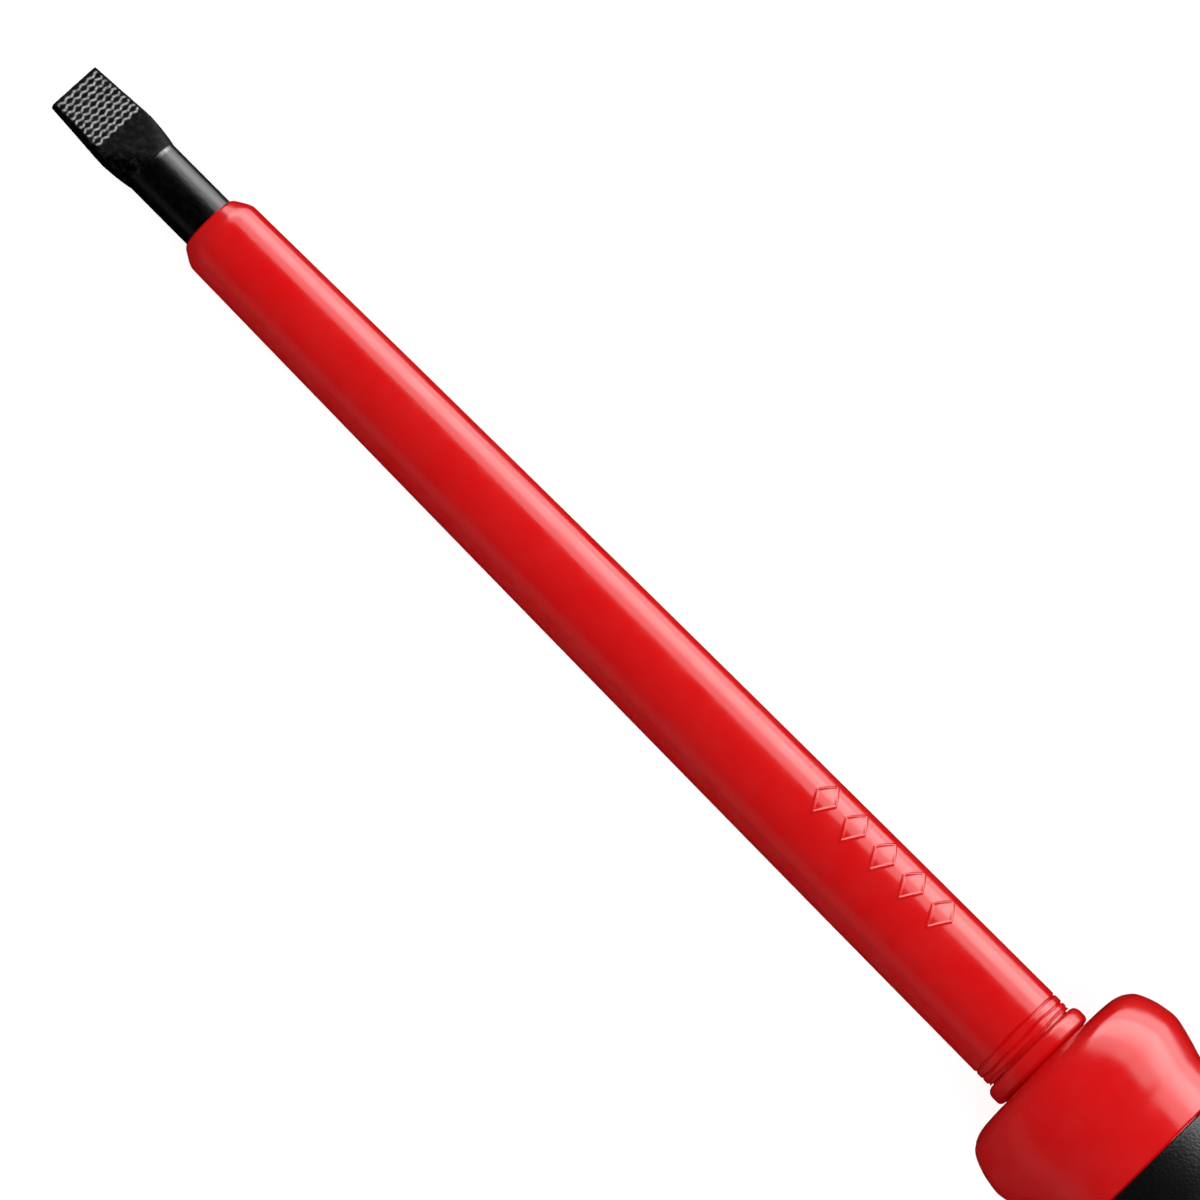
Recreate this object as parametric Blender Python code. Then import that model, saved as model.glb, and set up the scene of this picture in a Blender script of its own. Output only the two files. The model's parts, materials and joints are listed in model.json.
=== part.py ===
"""Insulated slotted screwdriver, 1.0 x 5.5 x 125 mm, as separate solids lying in its resting pose.

Stations run along the tool's own +X axis, in metres from the guard's front face: the blade tip is on the
negative side and the butt on the positive side. Angles round the axis are measured from +Y towards +Z.
"""

import math

import bmesh
import bpy
from mathutils import Matrix, Vector

# Blade: flat tip, forged shoulder, round shaft, and a tang with two wings inside the handle.
SHAFT_DIAMETER = 0.0055
SHAFT_RADIUS = 0.5 * SHAFT_DIAMETER
TIP = -0.1250
SHAFT_START = -0.1147
WING_START = 0.0460
WING_END = 0.0670
WING_WIDTH = 0.0086
WING_THICKNESS = 0.0042
WING_SLOPE = 0.0040
TANG_END = 0.0745
BLADE_ROLL = math.radians(-20.5)

# Sections of the blade in front of its shaft, as (station, width, thickness, squareness).
TIP_SECTIONS = (
    (TIP, 0.00550, 0.00100, 24),
    (-0.1220, 0.00576, 0.00140, 24),
    (-0.1189, 0.00604, 0.00200, 16),
    (-0.1181, 0.00606, 0.00265, 8),
    (-0.1169, 0.00592, 0.00375, 4),
    (-0.1155, 0.00568, 0.00505, 2.5),
)

# Insulation on the shaft.
FIT_GAP = 0.00012
INNER_WALL = 0.00040
SLEEVE_FRONT = -0.1074
SLEEVE_BACK = 0.0060
SLEEVE_MOUTH_RADIUS = 0.00395
SLEEVE_END_RADIUS = 0.00500
SLEEVE_BOW = 0.00060
SLEEVE_SEAT_RADIUS = 0.00460
MOUTH_LENGTH = 0.0019
LINER_SETBACK = 0.0025
LINER_STOP = 0.0003
GROOVES = (-0.0039, -0.0030, -0.0023)
GROOVE_WIDTH = 0.0004
GROOVE_DEPTH = 0.0002
NECK_SEAT = -0.0021
NECK_RADIUS = 0.00556
NECK_ROUND = 0.0007

# Handle: guard, soft turning zone, six lobes with soft pads, and an end cap.
GUARD_BACK = 0.0128
GUARD_BORE = 0.0070
NECK_POCKET = 0.00015
TURN_START = GUARD_BACK + FIT_GAP
TURN_END = 0.0290
TURN_BORE = 0.0076
PAD_START = 0.0310
PAD_END = 0.0870
PAD_THICKNESS = 0.0026
PAD_GAP = 0.0002
RIB_HALF_WIDTH = 0.0011
RIB_RECESS = 0.0003
CORE_FRONT = 0.0015
CORE_BACK = 0.0900
CAP_FRONT = CORE_BACK + FIT_GAP
BUTT = 0.1120
BUTT_ROUND = 0.0050
SPIGOT_RADIUS = 0.0070
SPIGOT_FRONT = 0.0760
HANG_STATION = 0.1010
HANG_RADIUS = 0.0033
HANG_CHAMFER = 0.0010
DISC_RADIUS = 0.0085
DISC_DEPTH = 0.0012
LOBES = 6
FLUTE_SOFTNESS = 0.15
EDGE_BREAK = 0.0003
WALL_SLOPE = 0.0002

# Radius of the lobes' crests and depth of the flutes between them, as (station, value).
CREST = (
    (0.0128, 0.0100),
    (0.0200, 0.0101),
    (0.0270, 0.0110),
    (0.0360, 0.0143),
    (0.0460, 0.0166),
    (0.0560, 0.0165),
    (0.0680, 0.0153),
    (0.0800, 0.0145),
    (0.0900, 0.0146),
    (0.1000, 0.0151),
    (0.1120, 0.0150),
)
FLUTE = (
    (0.0128, 0.0),
    (0.0260, 0.0),
    (0.0360, 0.0010),
    (0.0460, 0.0017),
    (0.0620, 0.0017),
    (0.0800, 0.0013),
    (0.0900, 0.0011),
    (0.1120, 0.0008),
)

# Outline of the guard behind its front face, as (station, radius).
GUARD = (
    (0.0000, 0.00850),
    (0.0005, 0.00930),
    (0.0012, 0.01015),
    (0.0028, 0.01088),
    (0.0042, 0.01120),
    (0.0052, 0.01130),
    (0.0062, 0.01115),
    (0.0080, 0.01068),
    (0.0093, 0.01030),
    (0.0110, 0.01013),
    (0.0126, 0.01002),
    (0.0128, 0.00985),
)

ROUND_STEPS = 32
GUARD_STEPS = 48
LOBE_STEPS = 8


def clear_scene():
    for obj in list(bpy.data.objects):
        bpy.data.objects.remove(obj, do_unlink=True)


def material(name, colour, roughness, metallic=0.0):
    made = bpy.data.materials.new(name)
    made.use_nodes = True
    shader = made.node_tree.nodes["Principled BSDF"]
    shader.inputs["Base Color"].default_value = (*colour, 1.0)
    shader.inputs["Roughness"].default_value = roughness
    shader.inputs["Metallic"].default_value = metallic
    made.diffuse_color = (*colour, 1.0)
    return made


def solid(name, bm, finish, frame):
    """Turns a finished bmesh into a named object that lies in the tool's frame."""
    bmesh.ops.recalc_face_normals(bm, faces=bm.faces)
    mesh = bpy.data.meshes.new(name)
    bm.to_mesh(mesh)
    bm.free()
    mesh.shade_smooth()
    mesh.set_sharp_from_angle(angle=math.radians(32))
    mesh.materials.append(finish)
    obj = bpy.data.objects.new(name, mesh)
    bpy.context.scene.collection.objects.link(obj)
    obj.parent = frame
    return obj


def turned(name, profile, steps, finish, frame):
    """A ring turned from a closed outline of (station, radius) points."""
    bm = bmesh.new()
    corners = [bm.verts.new((station, radius, 0.0)) for station, radius in profile]
    edges = [bm.edges.new((corners[i - 1], corners[i])) for i in range(len(corners))]
    bmesh.ops.spin(
        bm,
        geom=corners + edges,
        cent=(0.0, 0.0, 0.0),
        axis=(1.0, 0.0, 0.0),
        angle=2 * math.pi,
        steps=steps,
        use_merge=True,
    )
    bmesh.ops.remove_doubles(bm, verts=bm.verts, dist=1e-7)
    return solid(name, bm, finish, frame)


def lofted(name, rings, finish, frame, is_tube=False):
    """A skin over rings of points. A tube joins its last ring to its first, and a bar has two flat ends."""
    bm = bmesh.new()
    loops = [[bm.verts.new(point) for point in ring] for ring in rings]
    pairs = list(zip(loops, loops[1:]))
    if is_tube:
        pairs.append((loops[-1], loops[0]))
    else:
        bm.faces.new(loops[0])
        bm.faces.new(loops[-1])
    for near, far in pairs:
        for i in range(len(near)):
            bm.faces.new((near[i - 1], near[i], far[i], far[i - 1]))
    return solid(name, bm, finish, frame)


def cut(target, cutter):
    """Removes the cutter's shape from the target and keeps the cutter as a hidden guide."""
    cutter.hide_render = True
    cutter.display_type = "WIRE"
    modifier = target.modifiers.new("cut_" + cutter.name, "BOOLEAN")
    modifier.operation = "DIFFERENCE"
    modifier.solver = "EXACT"
    modifier.object = cutter


def eased(points, station):
    """Value at a station on a smooth curve through (station, value) points."""
    last = len(points) - 1
    i = max(0, min(last - 1, sum(1 for place, _ in points if place <= station) - 1))

    def slope(j):
        before, after = points[max(0, j - 1)], points[min(last, j + 1)]
        return (after[1] - before[1]) / (after[0] - before[0])

    (start, low), (end, high) = points[i], points[i + 1]
    length = end - start
    t = max(0.0, min(1.0, (station - start) / length))
    rise = (3 - 2 * t) * t * t
    return (
        low
        + (high - low) * rise
        + length * slope(i) * t * (1 - t) ** 2
        - length * slope(i + 1) * t * t * (1 - t)
    )


def lobe(angle):
    """1 on a lobe's crest and 0 in the softened bottom of a flute."""
    wave = math.hypot(math.cos(0.5 * LOBES * angle), FLUTE_SOFTNESS)
    crest = math.hypot(1.0, FLUTE_SOFTNESS)
    return (wave - FLUTE_SOFTNESS) / (crest - FLUTE_SOFTNESS)


def grip_radius(station, angle):
    """Radius of the handle's outer surface."""
    depth = max(0.0, eased(FLUTE, station))
    return eased(CREST, station) - depth * (1 - lobe(angle))


def around(station, angle, radius):
    return Vector((station, radius * math.cos(angle), radius * math.sin(angle)))


def circle(station, radius, angles):
    return [around(station, angle, radius) for angle in angles]


def grip_ring(station, angles, drop=0.0):
    return [around(station, angle, grip_radius(station, angle) - drop) for angle in angles]


def spaced(first, last, count):
    return [first + (last - first) * i / (count - 1) for i in range(count)]


def even_angles(count):
    return [2 * math.pi * i / count for i in range(count)]


def blade_section(station, width, thickness, squareness):
    """A rolled superellipse: squareness 2 is an ellipse, and a large value a rectangle."""
    points = []
    for angle in even_angles(ROUND_STEPS):
        side = math.copysign(abs(math.cos(angle)) ** (2 / squareness), math.cos(angle))
        rise = math.copysign(abs(math.sin(angle)) ** (2 / squareness), math.sin(angle))
        points.append(Vector((station, 0.5 * width * side, 0.5 * thickness * rise)))
    roll = Matrix.Rotation(BLADE_ROLL, 3, "X")
    return [roll @ point for point in points]


def make_blade(finish, frame):
    end_chamfer = 0.0010
    end_diameter = SHAFT_DIAMETER - 2 * end_chamfer
    sections = TIP_SECTIONS + (
        (SHAFT_START, SHAFT_DIAMETER, SHAFT_DIAMETER, 2),
        (WING_START, SHAFT_DIAMETER, SHAFT_DIAMETER, 2),
        (WING_START + WING_SLOPE, WING_WIDTH, WING_THICKNESS, 3),
        (WING_END - WING_SLOPE, WING_WIDTH, WING_THICKNESS, 3),
        (WING_END, SHAFT_DIAMETER, SHAFT_DIAMETER, 2),
        (TANG_END - end_chamfer, SHAFT_DIAMETER, SHAFT_DIAMETER, 2),
        (TANG_END, end_diameter, end_diameter, 2),
    )
    return lofted("blade", [blade_section(*section) for section in sections], finish, frame)


def sleeve_radius(station):
    """The sleeve swells towards the handle in a slightly bowed taper."""
    t = (station - SLEEVE_FRONT) / -SLEEVE_FRONT
    taper = SLEEVE_MOUTH_RADIUS + (SLEEVE_END_RADIUS - SLEEVE_MOUTH_RADIUS) * t
    return taper + SLEEVE_BOW * t * (1 - t)


def make_inner_insulation(finish, frame):
    low = SHAFT_RADIUS + FIT_GAP
    high = low + INNER_WALL
    front, back = SLEEVE_FRONT + LINER_SETBACK, SLEEVE_BACK - LINER_STOP
    profile = [(front, low), (front, high), (back, high), (back, low)]
    return turned("inner_insulation", profile, ROUND_STEPS, finish, frame)


def make_blade_sleeve(finish, frame):
    lip_bore = SHAFT_RADIUS + FIT_GAP
    liner_bore = lip_bore + INNER_WALL + FIT_GAP
    liner_seat = SLEEVE_FRONT + LINER_SETBACK - FIT_GAP
    mouth_end = SLEEVE_FRONT + MOUTH_LENGTH
    lip_rise = sleeve_radius(mouth_end) - lip_bore
    outline = [
        (SLEEVE_FRONT, lip_bore),
        (SLEEVE_FRONT + 0.08 * MOUTH_LENGTH, lip_bore + 0.20 * lip_rise),
        (SLEEVE_FRONT + 0.75 * MOUTH_LENGTH, lip_bore + 0.90 * lip_rise),
        (mouth_end, lip_bore + lip_rise),
    ]
    for station in spaced(mouth_end, GROOVES[0] - GROOVE_WIDTH, 8)[1:]:
        outline.append((station, sleeve_radius(station)))
    for station in GROOVES:
        radius = sleeve_radius(station)
        outline.append((station - 0.5 * GROOVE_WIDTH, radius))
        outline.append((station, radius - GROOVE_DEPTH))
        outline.append((station + 0.5 * GROOVE_WIDTH, radius))
    outline += [
        (NECK_SEAT, SLEEVE_SEAT_RADIUS),
        (SLEEVE_BACK, SLEEVE_SEAT_RADIUS),
        (SLEEVE_BACK, liner_bore),
        (liner_seat, liner_bore),
        (liner_seat, lip_bore),
    ]
    return turned("blade_sleeve", outline, ROUND_STEPS, finish, frame)


def make_neck_ring(finish, frame):
    bore = SLEEVE_SEAT_RADIUS + FIT_GAP
    front, back = NECK_SEAT + FIT_GAP, NECK_POCKET - FIT_GAP
    outline = [(front, bore), (front, NECK_RADIUS - NECK_ROUND)]
    for angle in spaced(0.0, 0.5 * math.pi, 4)[1:]:
        station = front + NECK_ROUND * (1 - math.cos(angle))
        outline.append((station, NECK_RADIUS - NECK_ROUND * (1 - math.sin(angle))))
    outline += [(back, NECK_RADIUS), (back, bore)]
    return turned("neck_ring", outline, ROUND_STEPS, finish, frame)


def make_guard_collar(finish, frame):
    """The guard, with a shallow pocket in its front face for the neck ring."""
    nose_bore = SLEEVE_SEAT_RADIUS + FIT_GAP
    pocket_radius = NECK_RADIUS + FIT_GAP
    shoulder = CORE_FRONT - FIT_GAP
    outline = list(GUARD)
    outline += [(GUARD_BACK, GUARD_BORE), (shoulder, GUARD_BORE), (shoulder, nose_bore)]
    outline += [(NECK_POCKET, nose_bore), (NECK_POCKET, pocket_radius), (0.0, pocket_radius)]
    return turned("guard_collar", outline, GUARD_STEPS, finish, frame)


def make_front_grip(finish, frame):
    angles = even_angles(GUARD_STEPS)
    rings = [circle(TURN_START, grip_radius(TURN_START, 0.0) - EDGE_BREAK, angles)]
    for station in spaced(TURN_START + EDGE_BREAK, TURN_END - EDGE_BREAK, 6):
        rings.append(grip_ring(station, angles))
    rings.append(grip_ring(TURN_END, angles, EDGE_BREAK))
    rings.append(circle(TURN_END, TURN_BORE, angles))
    rings.append(circle(TURN_START, TURN_BORE, angles))
    return lofted("front_grip", rings, finish, frame, is_tube=True)


def window_half_angle(station):
    """Half the angle of a core window, which leaves a rib of constant width in each flute."""
    flute_radius = grip_radius(station, math.pi / LOBES)
    return math.pi / LOBES - math.asin(RIB_HALF_WIDTH / flute_radius)


def core_ring(station, is_window):
    """One ring of the core's outside, with window floors and ribs or at the full lobed outline."""
    half = window_half_angle(station)
    wall = WALL_SLOPE / grip_radius(station, 0.0)
    offsets = (-math.pi / LOBES, -half - wall, -half, -0.5 * half, 0.0, 0.5 * half, half, half + wall)
    ring = []
    for index in range(LOBES):
        for offset in offsets:
            angle = 2 * math.pi * index / LOBES + offset
            on_floor = is_window and abs(offset) <= half
            drop = PAD_THICKNESS if on_floor else RIB_RECESS
            ring.append(around(station, angle, grip_radius(station, angle) - drop))
    return ring


def make_handle_core(finish, frame):
    """The core's outside from front to back, then its bore from back to front."""
    angles = even_angles(LOBES * LOBE_STEPS)
    start = TURN_END + FIT_GAP
    guard_seat = GUARD_BORE - FIT_GAP
    turn_seat = TURN_BORE - FIT_GAP
    rings = [
        circle(CORE_FRONT, guard_seat, angles),
        circle(TURN_START, guard_seat, angles),
        circle(TURN_START, turn_seat, angles),
        circle(start, turn_seat, angles),
        core_ring(start, False),
        core_ring(PAD_START - WALL_SLOPE, False),
    ]
    rings += [core_ring(station, True) for station in spaced(PAD_START, PAD_END, 11)]
    rings += [core_ring(PAD_END + WALL_SLOPE, False), core_ring(CORE_BACK, False)]
    socket = SPIGOT_RADIUS + FIT_GAP
    socket_front = SPIGOT_FRONT - FIT_GAP
    shaft_bore = SHAFT_RADIUS + FIT_GAP
    sleeve_bore = SLEEVE_SEAT_RADIUS + FIT_GAP
    rings += [
        circle(CORE_BACK, socket, angles),
        circle(socket_front, socket, angles),
        circle(socket_front, shaft_bore, angles),
        circle(SLEEVE_BACK + FIT_GAP, shaft_bore, angles),
        circle(SLEEVE_BACK + FIT_GAP, sleeve_bore, angles),
        circle(CORE_FRONT, sleeve_bore, angles),
    ]
    core = lofted("handle_core", rings, finish, frame, is_tube=True)
    slot_width = WING_WIDTH + 2 * FIT_GAP
    slot_thickness = WING_THICKNESS + 4 * FIT_GAP
    slot_rings = [
        blade_section(WING_START - FIT_GAP, slot_width, slot_thickness, 3),
        blade_section(socket_front + WALL_SLOPE, slot_width, slot_thickness, 3),
    ]
    cut(core, lofted("wing_slot_cutter", slot_rings, finish, frame))
    return core


def make_grip_pad(number, finish, frame):
    """A soft pad that fills one window of the core and stands a little proud of the ribs."""
    middle = 2 * math.pi * (number - 1) / LOBES
    stations = spaced(PAD_START + PAD_GAP, PAD_END - PAD_GAP, 12)
    rings = []
    for station in stations:
        half = window_half_angle(station) - PAD_GAP / grip_radius(station, 0.0)
        is_end = station in (stations[0], stations[-1])
        ring = []
        for share in (-1.0, -0.93, -0.5, 0.0, 0.5, 0.93, 1.0):
            angle = middle + share * half
            drop = EDGE_BREAK if is_end or abs(share) == 1.0 else 0.0
            ring.append(around(station, angle, grip_radius(station, angle) - drop))
        for share in (1.0, 0.5, 0.0, -0.5, -1.0):
            angle = middle + share * half
            ring.append(around(station, angle, grip_radius(station, angle) - PAD_THICKNESS + PAD_GAP))
        rings.append(ring)
    return lofted(f"grip_pad_{number}", rings, finish, frame)


def cap_radius(station, angle):
    """The lobed outline, rounded over at the butt."""
    into_round = min(BUTT_ROUND, max(0.0, station - (BUTT - BUTT_ROUND)))
    fillet = BUTT_ROUND - math.sqrt(BUTT_ROUND**2 - into_round**2)
    return grip_radius(station, angle) - fillet


def make_end_cap(finish, frame):
    angles = even_angles(LOBES * LOBE_STEPS)
    stations = spaced(CAP_FRONT + EDGE_BREAK, BUTT - BUTT_ROUND, 5)
    stations += [BUTT - BUTT_ROUND * (1 - math.sin(turn)) for turn in spaced(0.0, 0.5 * math.pi, 6)[1:]]
    rings = [
        circle(SPIGOT_FRONT, SPIGOT_RADIUS - EDGE_BREAK, angles),
        circle(SPIGOT_FRONT + EDGE_BREAK, SPIGOT_RADIUS, angles),
        circle(CAP_FRONT, SPIGOT_RADIUS, angles),
        grip_ring(CAP_FRONT, angles, EDGE_BREAK + RIB_RECESS),
    ]
    rings += [[around(place, angle, cap_radius(place, angle)) for angle in angles] for place in stations]
    rings += [
        circle(BUTT, DISC_RADIUS + FIT_GAP, angles),
        circle(BUTT - DISC_DEPTH, DISC_RADIUS + FIT_GAP, angles),
    ]
    cap = lofted("end_cap", rings, finish, frame)
    cut(cap, make_hang_hole_cutter(finish, frame))
    return cap


def make_hang_hole_cutter(finish, frame):
    """A round bar across the cap, which flares at 45 degrees where it comes out of the surface."""
    reach = grip_radius(HANG_STATION, 0.0)
    outside = 0.004
    mouth_radius = HANG_RADIUS + HANG_CHAMFER + outside
    steps = (
        (-reach - outside, mouth_radius),
        (HANG_CHAMFER - reach, HANG_RADIUS),
        (reach - HANG_CHAMFER, HANG_RADIUS),
        (reach + outside, mouth_radius),
    )
    rings = []
    for side, radius in steps:
        ring = circle(side, radius, even_angles(ROUND_STEPS))
        rings.append([Vector((HANG_STATION + point.y, point.x, point.z)) for point in ring])
    return lofted("hang_hole_cutter", rings, finish, frame)


def make_butt_disc(finish, frame):
    angles = even_angles(LOBES * LOBE_STEPS)
    rings = [
        circle(BUTT - DISC_DEPTH + FIT_GAP, DISC_RADIUS, angles),
        circle(BUTT - EDGE_BREAK, DISC_RADIUS, angles),
        circle(BUTT, DISC_RADIUS - EDGE_BREAK, angles),
    ]
    return lofted("butt_disc", rings, finish, frame)


def points_of(objects):
    return [Vector(vertex.co) for obj in objects for vertex in obj.data.vertices]


def resting_pitch(front, back):
    """Angle about Y at which the lowest front point and the lowest back point touch one level floor."""

    def height_difference(pitch):
        turn = Matrix.Rotation(-pitch, 3, "Y")
        return min((turn @ p).z for p in front) - min((turn @ p).z for p in back)

    low, high = 0.0, math.radians(15)
    for _ in range(40):
        middle = 0.5 * (low + high)
        if height_difference(middle) > 0:
            low = middle
        else:
            high = middle
    return 0.5 * (low + high)


def lay_down(frame, objects):
    """Pitches the tool until shaft and grip touch the floor, and centres its outline over the origin."""
    shaft = [obj for obj in objects if obj.name in ("blade", "blade_sleeve")]
    pitch = resting_pitch(points_of(shaft), points_of(obj for obj in objects if obj not in shaft))
    turn = Matrix.Rotation(-pitch, 3, "Y")
    turned_points = [turn @ point for point in points_of(objects)]
    low = [min(point[axis] for point in turned_points) for axis in range(3)]
    high = [max(point[axis] for point in turned_points) for axis in range(3)]
    frame.rotation_euler = (0.0, -pitch, 0.0)
    frame.location = (-0.5 * (low[0] + high[0]), -0.5 * (low[1] + high[1]), -low[2])


def main():
    clear_scene()
    frame = bpy.data.objects.new("tool_frame", None)
    bpy.context.scene.collection.objects.link(frame)

    steel = material("black_oxide_steel", (0.020, 0.020, 0.021), 0.38, 0.9)
    red = material("red_insulation", (0.720, 0.012, 0.016), 0.32)
    light = material("light_insulation", (0.820, 0.780, 0.640), 0.45)
    hard_red = material("red_handle_plastic", (0.700, 0.012, 0.016), 0.34)
    soft_black = material("black_soft_grip", (0.018, 0.018, 0.019), 0.78)
    dark = material("dark_disc_plastic", (0.030, 0.030, 0.032), 0.45)

    made = [
        make_blade(steel, frame),
        make_inner_insulation(light, frame),
        make_blade_sleeve(red, frame),
        make_neck_ring(red, frame),
        make_guard_collar(hard_red, frame),
        make_handle_core(hard_red, frame),
        make_front_grip(soft_black, frame),
        make_end_cap(hard_red, frame),
        make_butt_disc(dark, frame),
    ]
    made += [make_grip_pad(number, soft_black, frame) for number in range(1, LOBES + 1)]
    lay_down(frame, made)


main()
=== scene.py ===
"""Looks of the insulated slotted screwdriver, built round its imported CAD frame.

Pieces are made in the tool's own coordinates, in metres: stations run along +X from the guard's front face,
with the blade tip on the negative side, and angles run round the axis from +Y towards +Z. Each object's
matrix then lays its piece in the resting pose of the CAD model.
"""

import json
import math

import bmesh
import bpy
import numpy as np
from mathutils import Matrix, Vector


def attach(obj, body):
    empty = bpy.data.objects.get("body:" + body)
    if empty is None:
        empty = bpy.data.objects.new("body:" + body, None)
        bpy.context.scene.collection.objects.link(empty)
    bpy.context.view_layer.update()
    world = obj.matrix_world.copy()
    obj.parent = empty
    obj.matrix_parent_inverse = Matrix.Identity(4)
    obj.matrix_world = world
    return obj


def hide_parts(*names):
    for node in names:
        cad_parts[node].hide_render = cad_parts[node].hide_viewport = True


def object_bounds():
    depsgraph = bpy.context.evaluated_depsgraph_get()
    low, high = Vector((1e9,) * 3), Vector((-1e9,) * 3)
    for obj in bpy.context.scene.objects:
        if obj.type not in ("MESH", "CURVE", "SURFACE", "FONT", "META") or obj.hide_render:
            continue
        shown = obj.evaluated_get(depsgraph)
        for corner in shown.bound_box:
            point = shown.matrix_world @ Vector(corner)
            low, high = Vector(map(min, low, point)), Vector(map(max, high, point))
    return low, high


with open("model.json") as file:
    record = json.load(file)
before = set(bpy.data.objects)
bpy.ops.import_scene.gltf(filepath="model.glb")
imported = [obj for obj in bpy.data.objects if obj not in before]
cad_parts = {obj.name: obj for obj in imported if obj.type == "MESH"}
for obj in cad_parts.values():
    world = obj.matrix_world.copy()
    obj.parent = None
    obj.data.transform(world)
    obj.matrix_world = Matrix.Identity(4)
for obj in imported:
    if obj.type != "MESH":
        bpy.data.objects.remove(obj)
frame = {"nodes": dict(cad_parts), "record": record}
cad_low, cad_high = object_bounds()

# Blade.
SHAFT_DIAMETER = 0.0055
SHAFT_RADIUS = 0.5 * SHAFT_DIAMETER
TIP = -0.1250
SHAFT_START = -0.1147
WING_START = 0.0460
WING_END = 0.0670
WING_WIDTH = 0.0086
WING_THICKNESS = 0.0042
WING_SLOPE = 0.0040
TANG_END = 0.0745
BLADE_ROLL = math.radians(-20.5)
BLADE_SECTIONS = (
    (TIP, 0.00550, 0.00100, 24),
    (-0.1220, 0.00576, 0.00140, 24),
    (-0.1189, 0.00604, 0.00200, 16),
    (-0.1181, 0.00606, 0.00265, 8),
    (-0.1169, 0.00592, 0.00375, 4),
    (-0.1155, 0.00568, 0.00505, 2.5),
    (SHAFT_START, SHAFT_DIAMETER, SHAFT_DIAMETER, 2),
)
ETCH_END = -0.1188
ETCH_PITCH = 0.00056
ETCH_START = 0.00050
ETCH_LINES = 10
ETCH_PERIOD = 0.00092
ETCH_SWING = 0.00010
ETCH_HALF_WIDTH = 0.00018
ETCH_HEIGHT = 0.00006
ETCH_MARGIN = 0.00022
ETCH_FADE = 0.0001
# A painted highlight: a pale grey glint painted round the start of the shaft, on the side that faces the
# lights.
GLINT_ANGLE = math.radians(48)
GLINT_HALF_ANGLE = 0.42
GLINT_HALF_LENGTH = 0.0003

# Insulation on the shaft.
FIT_GAP = 0.00012
INNER_WALL = 0.00040
SLEEVE_FRONT = -0.1074
SLEEVE_BACK = 0.0060
SLEEVE_MOUTH_RADIUS = 0.00395
SLEEVE_END_RADIUS = 0.00500
SLEEVE_BOW = 0.00060
SLEEVE_SEAT_RADIUS = 0.00460
MOUTH_LENGTH = 0.0019
LINER_SETBACK = 0.0025
GROOVES = (-0.0039, -0.0030, -0.0023)
GROOVE_DEPTH = 0.0002
GROOVE_HALF_WIDTH = 0.00018
NECK_SEAT = -0.0021
NECK_RADIUS = 0.00556
NECK_POCKET = 0.00015
NECK_FRONT_ROUND = 0.00085
NECK_BACK_ROUND = 0.0006
MARK_SECTOR = (math.radians(24), math.radians(82))

# Five plain raised lozenges on the sleeve.
LOZENGES = (-0.0307, -0.02705, -0.0234, -0.01975, -0.0161)
LOZENGE_HALF_LENGTH = 0.00115
LOZENGE_HALF_ARC = 0.00215
LOZENGE_ANGLE = math.radians(53.0)
LOZENGE_LINE = 0.00018
LOZENGE_HEIGHT = 0.00012

# Handle.
GUARD_BACK = 0.0128
GUARD_BORE = 0.0070
TURN_START = GUARD_BACK + FIT_GAP
TURN_END = 0.0290
TURN_BORE = 0.0076
PAD_START = 0.0310
PAD_END = 0.0870
PAD_THICKNESS = 0.0026
PAD_GAP = 0.0002
RIB_HALF_WIDTH = 0.0011
RIB_RECESS = 0.0003
CORE_FRONT = 0.0015
CORE_BACK = 0.0900
CAP_FRONT = CORE_BACK + FIT_GAP
BUTT = 0.1120
BUTT_ROUND = 0.0050
SPIGOT_RADIUS = 0.0070
SPIGOT_FRONT = 0.0760
HANG_STATION = 0.1010
HANG_RADIUS = 0.0033
HANG_CHAMFER = 0.0010
DISC_RADIUS = 0.0085
DISC_DEPTH = 0.0012
LOBES = 6
FLUTE_SOFTNESS = 0.15
EDGE_BREAK = 0.0003
CORE_EDGE = 0.00025
WALL_SLOPE = 0.0002
PAD_ROLL = 0.0006
DISC_RINGS = (0.0066, 0.0074)
DISC_RING_HALF_WIDTH = 0.00025
DISC_DISH_RADIUS = 0.0060
CREST = (
    (0.0128, 0.0100),
    (0.0200, 0.0101),
    (0.0270, 0.0110),
    (0.0360, 0.0143),
    (0.0460, 0.0166),
    (0.0560, 0.0165),
    (0.0680, 0.0153),
    (0.0800, 0.0145),
    (0.0900, 0.0146),
    (0.1000, 0.0151),
    (0.1120, 0.0150),
)
FLUTE = (
    (0.0128, 0.0),
    (0.0260, 0.0),
    (0.0360, 0.0010),
    (0.0460, 0.0017),
    (0.0620, 0.0017),
    (0.0800, 0.0013),
    (0.0900, 0.0011),
    (0.1120, 0.0008),
)
GUARD = (
    (0.0000, 0.00850),
    (0.0005, 0.00930),
    (0.0012, 0.01015),
    (0.0028, 0.01088),
    (0.0042, 0.01120),
    (0.0052, 0.01130),
    (0.0062, 0.01115),
    (0.0080, 0.01068),
    (0.0093, 0.01030),
    (0.0110, 0.01013),
    (0.0126, 0.01002),
)
GUARD_FACE = (
    (0.00002, 0.0070),
    (0.00008, 0.0078),
    (0.00016, 0.00836),
    (0.00028, 0.00878),
    (0.00038, 0.00902),
)
GUARD_REAR = ((0.01270, 0.00998), (0.01277, 0.00992), (GUARD_BACK, 0.00985))

# Camera: its place from the middle of the guard's face, its turn about the vertical, and its lens.
CAMERA_OFFSET = Vector((-0.05787, 0.00104, 0.95366))
CAMERA_TURN = math.radians(45.115)
CAMERA_LENS = 318.0
CAMERA_SENSOR = 36.0

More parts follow.
